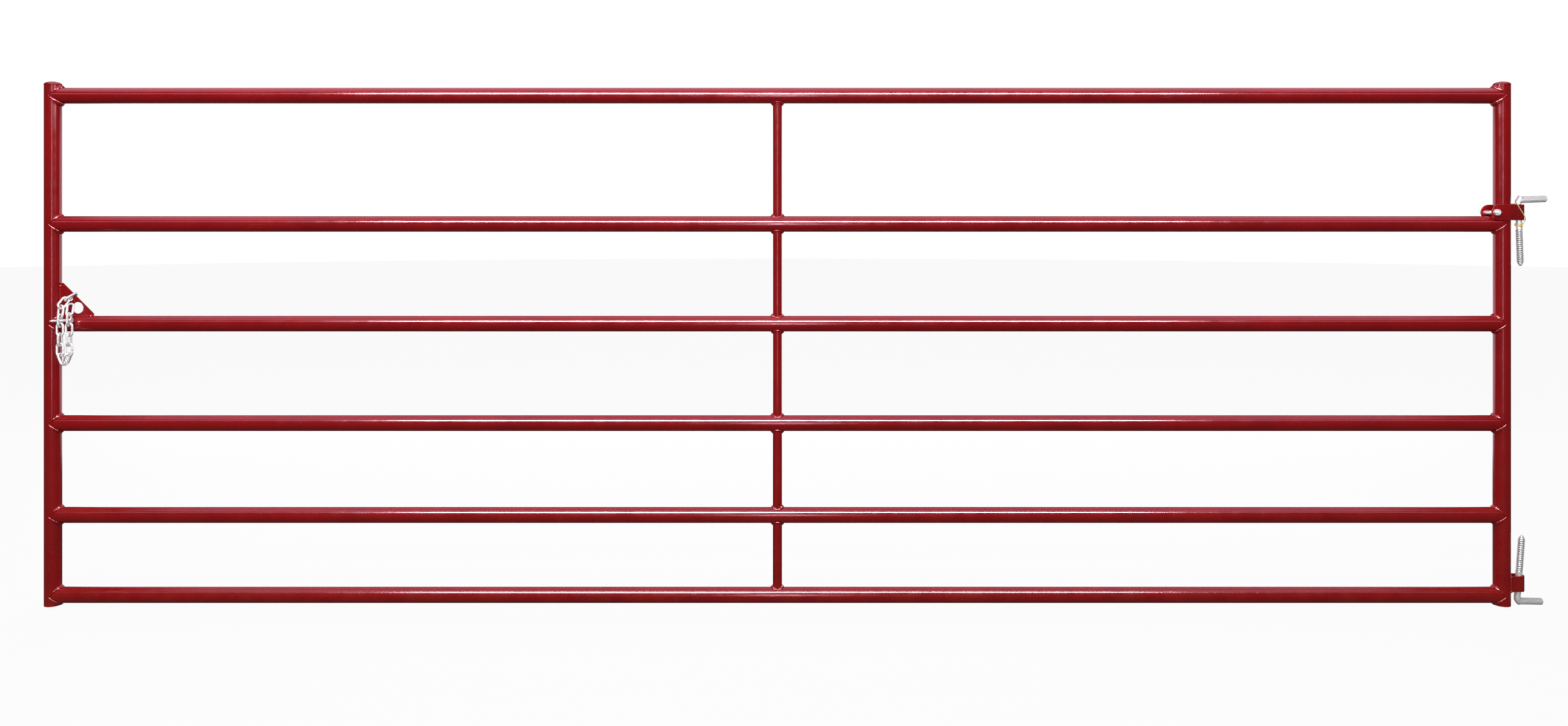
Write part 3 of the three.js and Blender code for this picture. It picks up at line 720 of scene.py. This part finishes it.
# ---- Threads, nuts and bolts ----
def threaded(rings, origin, axis, side, pitch, depth, sides=36):
    """A rod of (radius, height, thread) rings with a helical ridge: the radius at height h and angle a is
    radius - depth * groove, groove = thread * (1 - a triangle wave of h / pitch - a / (2 pi), cut off flat
    at its top and bottom)."""
    steepness, flat_bottom = 1.35, 0.08
    rings = np.asarray(rings, float)
    angle = full_turn(sides)
    phase = rings[:, 1, None] / pitch - angle[None] / tau
    wave = np.abs(2 * (phase - np.floor(phase)) - 1)
    crest = np.clip(steepness * (1 - wave) - flat_bottom, 0, 1) ** 1.1
    groove = rings[:, 2, None] * (1 - crest)
    radius = rings[:, 0, None] - depth * groove
    circle = around(angle, side, np.cross(axis, side))
    rows = origin + rings[:, 1, None, None] * axis + radius[..., None] * circle[None]
    return rows, groove


def hexagon_head(across_flats, profile, origin, axis, side, loop=False):
    """A hexagonal prism with its corners turned off: radius = min(flat / cos(angle from the flat), the
    profile's own limit), for profile rows of (limit, height)."""
    profile = np.asarray(profile, float)
    angle = full_turn(72)
    flat = (across_flats / 2) / np.cos((angle + pi / 6) % (pi / 3) - pi / 6)
    radius = np.minimum(flat[None], profile[:, 0, None])
    circle = around(angle, side, np.cross(axis, side))
    rows = origin + profile[:, 1, None, None] * axis + radius[..., None] * circle[None]
    return surface(rows, loop=loop, mark=0.05)


def collar_fastener():
    """The collar's bolt, its head at the back, and the nut on its threaded end at the front."""
    low, high = corners("collar_bolt")
    nut_low, nut_high = corners("collar_nut")
    origin = middle("collar_bolt") * [1, 0, 1]
    front = -Y
    flats = extent("collar_nut")[[0, 2]].min()
    corner = flats / 2 / np.cos(pi / 6)
    shank = 4.75 * MM
    pitch, depth = 1.59 * MM, 0.75 * MM
    thread_start = 4 * MM
    head_height = 6.4 * MM
    end, top = -low[1], -high[1]
    rings = [(shank, top + head_height - MM, 0), (shank, thread_start - MM, 0)]
    heights = np.arange(thread_start, end - 0.9 * MM, 0.12 * MM)
    rings += [(shank, h, min(1, (h - thread_start) / MM)) for h in heights]
    rings += [(shank - 0.5 * MM, end - 0.4 * MM, 0.2), (shank - MM, end, 0), (shank - 2 * MM, end, 0)]
    rod, groove = threaded(rings, origin, front, X, pitch, depth, 30)
    seat = top + head_height
    head = [(corner * 0.3, seat), (corner * 2, seat), (corner * 2, top + 1.3 * MM)]
    head += [(corner * 0.955, top + 0.5 * MM), (flats / 2 * 0.94, top), (corner * 0.3, top)]
    # the groove mark darkens the thread roots on zinc: painted shade
    surfaces = [surface(rod, mark=0.8 * groove), hexagon_head(flats, head, origin, front, Z)]
    make_piece("collar_bolt_threaded", surfaces, "collar", zinc, ["collar_bolt"], sharp=28)
    near, far = -nut_high[1], -nut_low[1]
    bore = shank + 0.1 * MM
    nut = [(bore, near), (flats / 2 * 0.95, near), (corner * 0.955, near + 0.5 * MM)]
    nut += [(corner * 2, near + 1.2 * MM), (corner * 2, far - 1.2 * MM), (corner * 0.955, far - 0.5 * MM)]
    nut += [(flats / 2 * 0.95, far), (bore + 0.8 * MM, far), (bore, far - 0.6 * MM)]
    surfaces = [hexagon_head(flats, nut, origin, front, Z, loop=True)]
    make_piece("collar_nut_faced", surfaces, "collar", zinc, ["collar_nut"], sharp=28)


collar_fastener()


# ---- Screw hooks ----
def hook_place(node, turn):
    """The elbow, the way down the shank and the way along the pin, from the turning axis and the node.

    Points more than 30 mm off the axis belong to the pin.
    """
    found = joint(turn)
    axis = unit(found["axis"])
    points = node_points(node) - found["pos_m"]
    height = points @ axis
    off_axis = points - height[:, None] * axis
    far = np.linalg.norm(off_axis, axis=1) > 30 * MM
    pin = unit(off_axis[far].mean(0))
    down = axis if height[far].mean() < 0 else -axis
    elbow = np.array(found["pos_m"]) + down * ((points @ down).max() - SHANK_LENGTH)
    return elbow, down, pin


def screw_hook(name, node, turn, body, knuckle):
    """One rod bent square: the shank, a quarter circle, then the pin, swept with a round section. Round the
    bend the outside is pushed out by knuckle exp(-((bend angle - 78) / width)^2), the forged corner."""
    elbow, down, pin = hook_place(node, turn)
    point = 2.2 * MM
    heights = np.arange(NECK_LENGTH - 1.5 * MM, SHANK_LENGTH - 0.4 * MM, THREAD_PITCH / 12)
    fade_in = np.clip((heights - NECK_LENGTH) / (2 * MM), 0, 1)
    to_point = np.clip((SHANK_LENGTH - heights) / POINT_LENGTH, 0, 1)
    radius = NECK_RADIUS + (PIN_RADIUS - NECK_RADIUS) * fade_in
    radius = np.minimum(radius, point + (PIN_RADIUS - point) * to_point**0.8)
    thread = fade_in * np.clip(to_point * 1.15, 0.1, 1)
    rings = np.stack([radius, heights, thread], -1)[::-1]
    tip = np.array([[0.4 * MM, SHANK_LENGTH, 0], [1.5 * MM, SHANK_LENGTH - 0.15 * MM, 0]])
    neck = np.linspace(NECK_LENGTH - 2 * MM, BEND_RADIUS, 12)
    plain = np.stack([np.full(12, NECK_RADIUS), neck, np.zeros(12)], -1)
    screw, groove = threaded(np.vstack([tip, rings, plain]), elbow, down, pin, THREAD_PITCH, THREAD_DEPTH)

    angle = full_turn(36)
    side = np.cross(down, pin)
    inner = np.cos(angle)  # 1 where the rod faces the inside of the bend
    corner_at = 78  # degrees round the bend
    bent = []
    for turned_by in np.linspace(0, pi / 2, 27)[1:]:
        outward = -np.cos(turned_by) * pin - np.sin(turned_by) * down
        centre = elbow + BEND_RADIUS * (pin + down) + BEND_RADIUS * outward
        rod = NECK_RADIUS + (PIN_RADIUS - NECK_RADIUS) * turned_by / (pi / 2)
        degrees = np.degrees(turned_by)
        width = 17 if degrees < corner_at else 6.5
        push = knuckle * np.exp(-(((degrees - corner_at) / width) ** 2))
        swell = push * np.clip(-inner, 0, 1) ** 1.3
        bent.append(centre - np.outer(inner * rod - swell, outward) + np.outer(np.sin(angle) * rod, side))
    # painted shade: the inside of the bend is darkened through the zinc mark
    painted_bend_shade = np.where(inner > 0.8, 0.35, 0.0) * np.ones((len(bent), 1))
    straight = np.append(np.linspace(BEND_RADIUS, PIN_LENGTH - 1.6 * MM, 12)[1:], PIN_LENGTH - 1.1 * MM)
    radii = np.full(len(straight), PIN_RADIUS)
    straight = np.append(straight, [PIN_LENGTH - 0.5 * MM, PIN_LENGTH - 0.12 * MM, PIN_LENGTH])
    radii = np.append(radii, [PIN_RADIUS - 0.45 * MM, PIN_RADIUS - 1.1 * MM, PIN_RADIUS - 2.0 * MM])
    pin_rows = elbow + straight[:, None, None] * pin + radii[:, None, None] * around(angle, down, side)[None]
    rows = np.vstack([screw, np.array(bent), pin_rows])
    # the mark darkens the thread roots and the bend's inside on zinc: painted shade
    marks = np.vstack([0.85 * groove, painted_bend_shade, np.zeros(pin_rows.shape[:2])])
    make_piece(name, [surface(rows, mark=marks)], body, zinc, [node], sharp=38)


screw_hook("upper_screw_hook_rod", "upper_screw_hook", "upper_hook_turn", "upper_hook", 4.3 * MM)
screw_hook("lower_screw_hook_rod", "lower_screw_hook", "lower_hook_turn", "lower_hook", 1.6 * MM)


# ---- Tie band ----
def tie_band():
    """Elastic cord wound on the hook's neck, then up across the front of the eye and over the top of the
    collar. Radius, height and angle round the hinge axis are each a curve of the share of the way along;
    the last stretch goes straight back over the strap and down its other side."""
    turns = 2.25
    turn_rise = 3.2 * MM
    start_angle, crossing_angle = -20, -108
    wound_share = 0.55
    wind = NECK_RADIUS + CORD_RADIUS + 0.25 * MM
    rim = eye_outer + CORD_RADIUS + 0.3 * MM
    start_z = corners("tie_band")[0][2] + CORD_RADIUS + 0.4 * MM
    low_z = collar_z - strap_width / 2 - 8 * MM
    rim_z = collar_z + strap_width / 2 + CORD_RADIUS + 0.3 * MM
    share = np.linspace(0, 1, 420)
    wound = np.clip(share / wound_share, 0, 1)
    crossing = np.clip((share - wound_share) / (1 - wound_share), 0, 1)
    angle = np.radians(start_angle - 360 * turns * (1 - wound) + crossing_angle * crossing)
    past = np.clip(np.abs(angle) - strap_tangent, 0, None) * (crossing > 0)
    wobble = 0.5 * MM * np.sin(61 * share) ** 2
    radius = np.where(crossing > 0, rim / np.cos(past), wind + wobble)
    flat = np.stack([radius * np.cos(angle), radius * np.sin(angle)], -1)
    travel = np.cumsum(np.append(0, np.linalg.norm(np.diff(flat, axis=0), axis=1)) * (crossing > 0))
    z = low_z - turn_rise * turns * (1 - wound) + (rim_z - low_z) * travel / travel[-1]
    z += 0.6 * MM * np.sin(47 * share) * (wound < 1)
    shank = unit(joint("upper_hook_turn")["axis"])
    flat += (shank[:2] / shank[2]) * ((z - collar_z) * (1 - crossing))[:, None]
    path = np.column_stack([flat, np.maximum(z, start_z)])
    over = np.linspace(0, 1, 80)[1:, None]
    across = path[-1] * [1, 0, 1] + path[-1] * [0, 1, 0] * np.cos(pi * over)
    tucked_from, tuck = 0.86, 9 * MM
    across[:, 2] -= tuck * np.clip((over[:, 0] - tucked_from) / (1 - tucked_from), 0, 1)
    path = smoothed(np.vstack([path, across]), 30)
    stretch = np.append(crossing, np.zeros(len(across)))
    q = full_turn(12)
    thinned = 0.18  # of its radius, where it is stretched
    normal, binormal = frames(path, Z + 0.2 * X)
    size = CORD_RADIUS * (1 - thinned * stretch)[:, None]
    rows = swept(path, size, np.cos(q), normal, np.sin(q), binormal)
    marks = np.broadcast_to(stretch[:, None], rows.shape[:2])

    t = full_turn(60)
    centre = path[0] + [-0.3 * MM, -2.3 * MM, 1.2 * MM]
    trefoil = np.stack([np.sin(t) + 2 * np.sin(2 * t), np.cos(t) - 2 * np.cos(2 * t), -np.sin(3 * t)], -1)
    coil = centre + trefoil * [0.75 * MM, 0.45 * MM, 0.95 * MM]
    normal, binormal = frames(coil, X + 0.4 * Z, closed=True)
    knot = swept(coil, 0.7 * MM, np.cos(q), normal, np.sin(q), binormal)
    surfaces = [surface(rows, mark=marks), surface(knot, loop=True, mark=0.3)]
    make_piece("tie_band_elastic", surfaces, "collar", rubber, ["tie_band"], sharp=70)


tie_band()


# ---- Chain ----
def chain_link(node, seed):
    """A welded link: a round wire carried along two half circles joined by straights, thinner by
    SEAT_WEAR facing^0.7 inside its bows and swollen by 9% exp(-(d / 1.5 mm)^2) at the weld in one side.
    The way it lies comes from the node's principal axes."""
    points = node_points(node)
    centre = points.mean(0)
    long, wide, thin = np.linalg.svd(points - centre, full_matrices=False)[2]
    reach = np.abs((points - centre) @ long).max() - WIRE_RADIUS
    bow = np.abs((points - centre) @ wide).max() - WIRE_RADIUS
    run = reach - bow
    turn = np.linspace(0, pi, 25)
    top = np.stack([bow * np.cos(turn), run + bow * np.sin(turn)], -1)
    side = np.linspace(run, -run, 15)[1:-1]
    left = np.stack([np.full_like(side, -bow), side], -1)
    flat = np.vstack([top, left, -top, -left])
    path = centre + flat[:, :1] * wide + flat[:, 1:] * long
    weld_at = np.random.default_rng(seed).uniform(-1.5, 1.5) * MM
    at_weld = (flat[:, 0] < -0.98 * bow) * np.exp(-(((flat[:, 1] - weld_at) / (1.5 * MM)) ** 2))
    normal, binormal = frames(path, thin, closed=True)
    q = full_turn(18)
    inward = -np.sign(np.einsum("ij,ij->i", path - centre, binormal))
    facing = np.clip(inward[:, None] * np.sin(q), 0, 1)
    bowed = np.clip((np.abs(flat[:, 1]) - run + 3 * MM) / (5 * MM), 0, 1)[:, None]
    lumps = 1 + 0.09 * at_weld[:, None] * (1 + 0.3 * np.sin(3 * q + seed))
    size = WIRE * lumps - SEAT_WEAR * bowed * facing**0.7
    rows = swept(path, size, np.cos(q), normal, np.sin(q), binormal)
    # painted shade where links seat on each other inside the bows; the weld's flanks are darkened too, a dark
    # joint
    mark = 0.5 * bowed * (facing > 0.7) + 0.35 * at_weld[:, None] * (np.abs(np.sin(2 * q)) > 0.5)
    return surface(rows, loop=True, mark=mark)


link = chain_link("chain_anchor_link", 1)
make_piece("chain_anchor_link_welded", [link], "anchor", zinc, ["chain_anchor_link"], sharp=60)
for number in range(1, 14):
    node = f"chain_link_{number:02d}"
    link = chain_link(node, 10 + number)
    make_piece(f"{node}_welded", [link], "chain", zinc, [node], sharp=60)


def lag_screw():
    """A hex lag screw: a plain neck, a coarse thread cut under its full size, and a gimlet point."""
    node = "chain_lag_screw"
    axis = unit(joint("lag_screw_pull")["axis"])
    points = node_points(node)
    height = points @ axis
    off_axis = points - height[:, None] * axis
    origin = (off_axis.max(0) + off_axis.min(0)) / 2
    low, high = height.min(), height.max()
    radius, point = 3.175 * MM, 0.7 * MM
    pitch, depth = 2.54 * MM, 0.85 * MM
    flats = 11.1 * MM
    corner = flats / 2 / np.cos(pi / 6)
    seat = high - 4.4 * MM
    thread_end = seat - 17 * MM
    side = unit(np.cross(axis, Y))
    steps = np.arange(low + 0.3 * MM, thread_end, 0.21 * MM)
    to_point = np.clip((steps - low) / (7 * MM), 0, 1)
    size = np.minimum(radius, point + (radius - point) * to_point**0.85)
    fade = np.clip((thread_end - steps) / (2.5 * MM), 0, 1) * np.clip(0.35 + to_point, 0, 1)
    rings = [(0.2 * MM, low, 0), *zip(size, steps, fade)]
    rings += [(radius, h, 0) for h in np.linspace(thread_end + 0.5 * MM, seat + MM, 8)]
    rod, groove = threaded(rings, origin, axis, side, pitch, depth, 28)
    profile = [(radius, seat), (flats * 0.47, seat), (corner * 2, seat + 0.35 * MM)]
    profile += [(corner * 2, high - 1.3 * MM), (corner * 0.95, high - 0.5 * MM), (flats * 0.44, high)]
    profile += [(radius, high)]
    # the groove mark darkens the thread roots on zinc: painted shade
    surfaces = [surface(rod, mark=0.75 * groove), hexagon_head(flats, profile, origin, axis, side)]
    make_piece("chain_lag_screw_threaded", surfaces, "lag_screw", zinc, [node], sharp=30)


lag_screw()


# ---- Floor, backdrop and light ----
def stage_material(name, colour, glow):
    material = bpy.data.materials.new(name)
    material.use_nodes = True
    shader = material.node_tree.nodes["Principled BSDF"]
    shader.inputs["Base Color"].default_value = (*colour, 1)
    shader.inputs["Roughness"].default_value = 0.9
    shader.inputs["Specular IOR Level"].default_value = 0.1
    shader.inputs["Emission Color"].default_value = (1, 1, 1, 1)
    shader.inputs["Emission Strength"].default_value = glow
    return material


def floor():
    """A wide disc just under the gate."""
    centre = np.array([middle_x, 0, cad_low[2] - 0.5 * MM])
    radius = 26
    rim = centre + around(full_turn(96), radius * X, radius * Y)
    mesh = bpy.data.meshes.new("studio_floor")
    mesh.from_pydata(rim, [], [list(range(len(rim)))])
    mesh.materials.append(stage_material("pale_floor", (0.03, 0.03, 0.03), 0.94))
    plate = bpy.data.objects.new("studio_floor", mesh)
    plate.visible_glossy = False
    plate.visible_diffuse = False
    bpy.context.scene.collection.objects.link(plate)
    plate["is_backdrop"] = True


def backdrop():
    """A pale dome round everything, seen only as the background."""
    q = np.linspace(0.02, pi - 0.02, 24)
    radius = 27
    profile = np.stack([radius * np.sin(q), radius * np.cos(q)], -1)
    points, faces, _ = surface(turned(profile, 48, middle_x * X, Z, X))
    mesh = bpy.data.meshes.new("studio_backdrop")
    mesh.from_pydata(points, [], faces)
    mesh.materials.append(stage_material("pale_backdrop", (0, 0, 0), 1.0))
    dome = bpy.data.objects.new("studio_backdrop", mesh)
    for ray in ("diffuse", "glossy", "transmission", "volume_scatter", "shadow"):
        setattr(dome, f"visible_{ray}", False)
    bpy.context.scene.collection.objects.link(dome)
    dome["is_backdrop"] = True


def softbox(name, place, towards, width, height, glow, colour):
    """A rectangular light of even radiance glow, whose power is pi x area x glow."""
    data = bpy.data.lights.new(name, "AREA")
    data.shape = "RECTANGLE"
    data.size = width
    data.size_y = height
    data.color = colour
    data.energy = pi * width * height * glow
    lamp = bpy.data.objects.new(name, data)
    aim = unit(np.array(towards, float) - place)
    sideways = unit(np.cross(aim, Z)) if abs(aim[2]) < 0.99 else X
    upward = np.cross(sideways, aim)
    matrix = np.eye(4)
    matrix[:3, 0], matrix[:3, 1], matrix[:3, 2], matrix[:3, 3] = sideways, upward, -aim, place
    lamp.matrix_world = Matrix(matrix)
    lamp.visible_camera = False
    bpy.context.scene.collection.objects.link(lamp)
    return lamp


def lighting():
    """A cool softbox and a warm bright strip in front, above the gate; a pale overhead; an upright strip and
    a key farther off in front; a panel behind; a panel for the bright hardware alone; a low fill from the
    front; and a dim room."""

    def at(y, up, right=0):
        """A place given from the gate's middle and its foot."""
        return (middle_x + right, y, foot_z + up)

    softbox("front_softbox", at(-1.45, 1.86), at(0, 1.2), 6.0, 0.36, 1.5, (0.95, 0.88, 1.0))
    strip = softbox("front_strip", at(-1.5, 1.88), at(0, 0.6), 3.2, 0.28, 70, (1.0, 0.94, 0.84))
    strip.visible_diffuse = False
    softbox("overhead", at(0.1, 3.2), (middle_x, 0, 0), 6.4, 3.4, 1.25, (0.95, 0.86, 1.0))
    softbox("upright_strip", at(-6.0, 1.0), at(0, 1.0), 0.2, 2.6, 16, (1, 0.96, 0.94))
    softbox("left_key", at(-3.6, 3.4, -1.2), at(0, 0.6), 2.2, 1.2, 7.5, (1, 0.96, 0.92))
    softbox("back_panel", at(2.5, 0.7), at(0, 0.7), 6.4, 1.6, 1.4, (1, 0.95, 0.97))
    hardware = bpy.data.collections.new("bright_hardware")
    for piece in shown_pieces():
        if piece.data.materials[0] in (zinc, rubber):
            hardware.objects.link(piece)
    panel = softbox("hardware_panel", at(-3.0, 0.6), at(0, 0.6), 8.0, 1.5, 1.3, (1, 1, 1))
    panel.light_linking.receiver_collection = hardware
    fill = softbox("low_fill", at(-3.6, 0.2), at(0, 0.2), 6.0, 1.0, 1.3, (1, 0.97, 0.93))
    fill.visible_glossy = False
    world = bpy.data.worlds.new("studio_room")
    world.use_nodes = True
    bpy.context.scene.world = world
    background = world.node_tree.nodes["Background"]
    background.inputs["Color"].default_value = (0.93, 0.95, 1.0, 1)
    background.inputs["Strength"].default_value = 0.09


floor()
backdrop()
lighting()
bpy.context.scene.view_settings.view_transform = "Standard"
